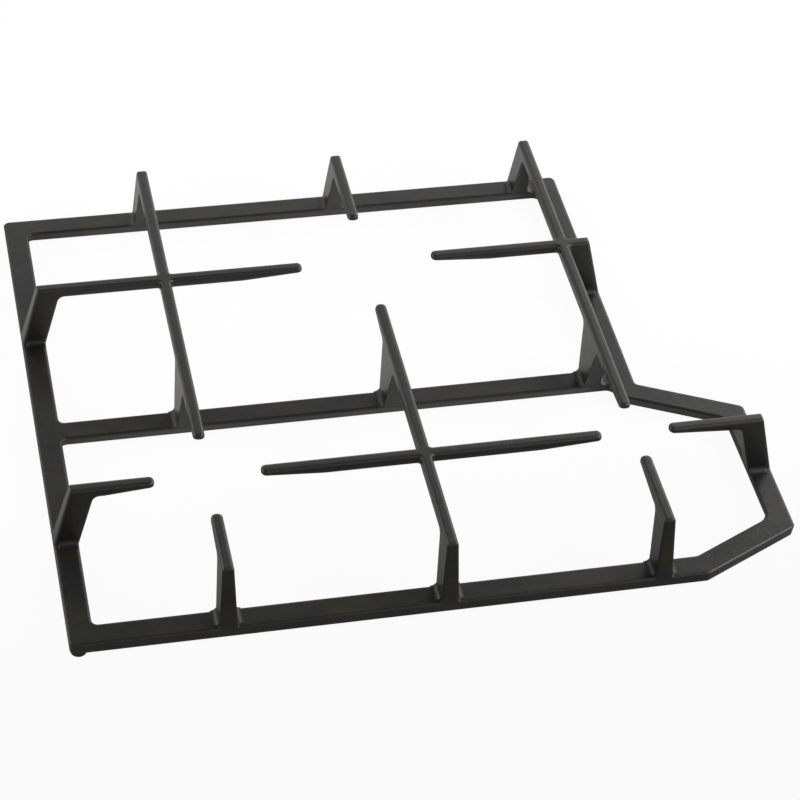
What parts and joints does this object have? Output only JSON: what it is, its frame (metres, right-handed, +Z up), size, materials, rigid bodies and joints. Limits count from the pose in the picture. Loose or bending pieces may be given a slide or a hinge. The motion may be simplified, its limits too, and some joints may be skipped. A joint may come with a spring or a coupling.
{
  "type": "hob pan support",
  "caption": "Cast-iron hob pan support: a flat bar frame with a bulged side, and legs that lean in and run on as level fingers round each burner.",
  "frame": {"origin": "under the middle of the casting's bounding box, on the plane of the feet", "axes": "+Z up from the hob, +X to the right along the front bar towards the bulge, +Y to the rear"},
  "size_m": [0.4684, 0.396, 0.0565],
  "materials": {
    "enamelled_iron": "satin black vitreous enamel over sand-cast iron"
  },
  "bodies": {
    "root": {"pan_support": "enamelled_iron"}
  },
  "joints": []
}
